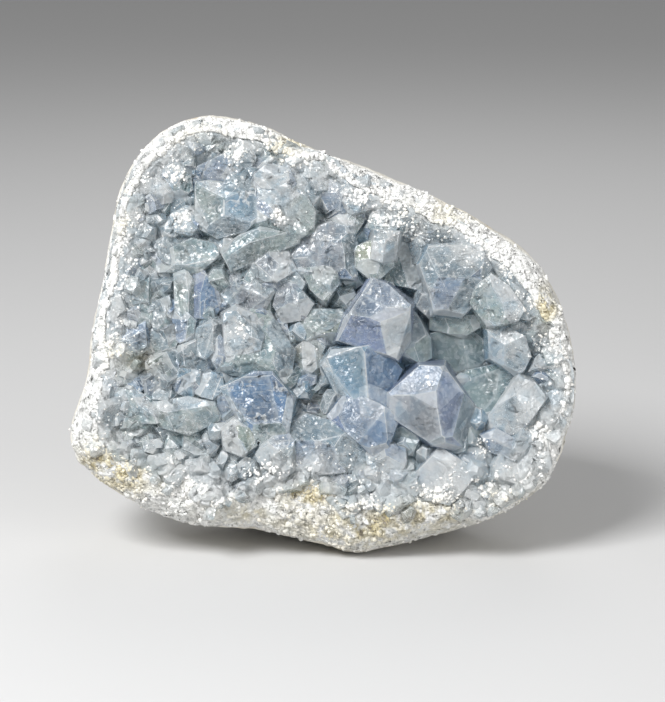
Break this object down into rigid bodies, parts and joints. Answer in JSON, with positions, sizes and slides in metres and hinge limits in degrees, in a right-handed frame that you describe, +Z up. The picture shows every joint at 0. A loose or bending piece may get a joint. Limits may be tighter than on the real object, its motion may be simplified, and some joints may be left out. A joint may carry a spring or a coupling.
{
  "type": "celestite cluster",
  "caption": "Half of a hollow pale rock, lined in front with one crust of translucent blue celestite crystals, standing on a small flat spot.",
  "frame": {"origin": "on the surface it stands on, under the middle of the stone's overall box", "axes": "+Z up; -Y is the way the crystals face, which lean back by 14 degrees; +X is to the right of someone who looks at the crystals"},
  "size_m": [0.149, 0.0802, 0.1278],
  "materials": {
    "rind": "dry, matt and granular, with ochre stains",
    "celestite": "clear to cloudy crystal with glassy faces and frosted edges"
  },
  "bodies": {
    "root": {"matrix_rock": "rind", "crystal_crust": "celestite"}
  },
  "joints": []
}
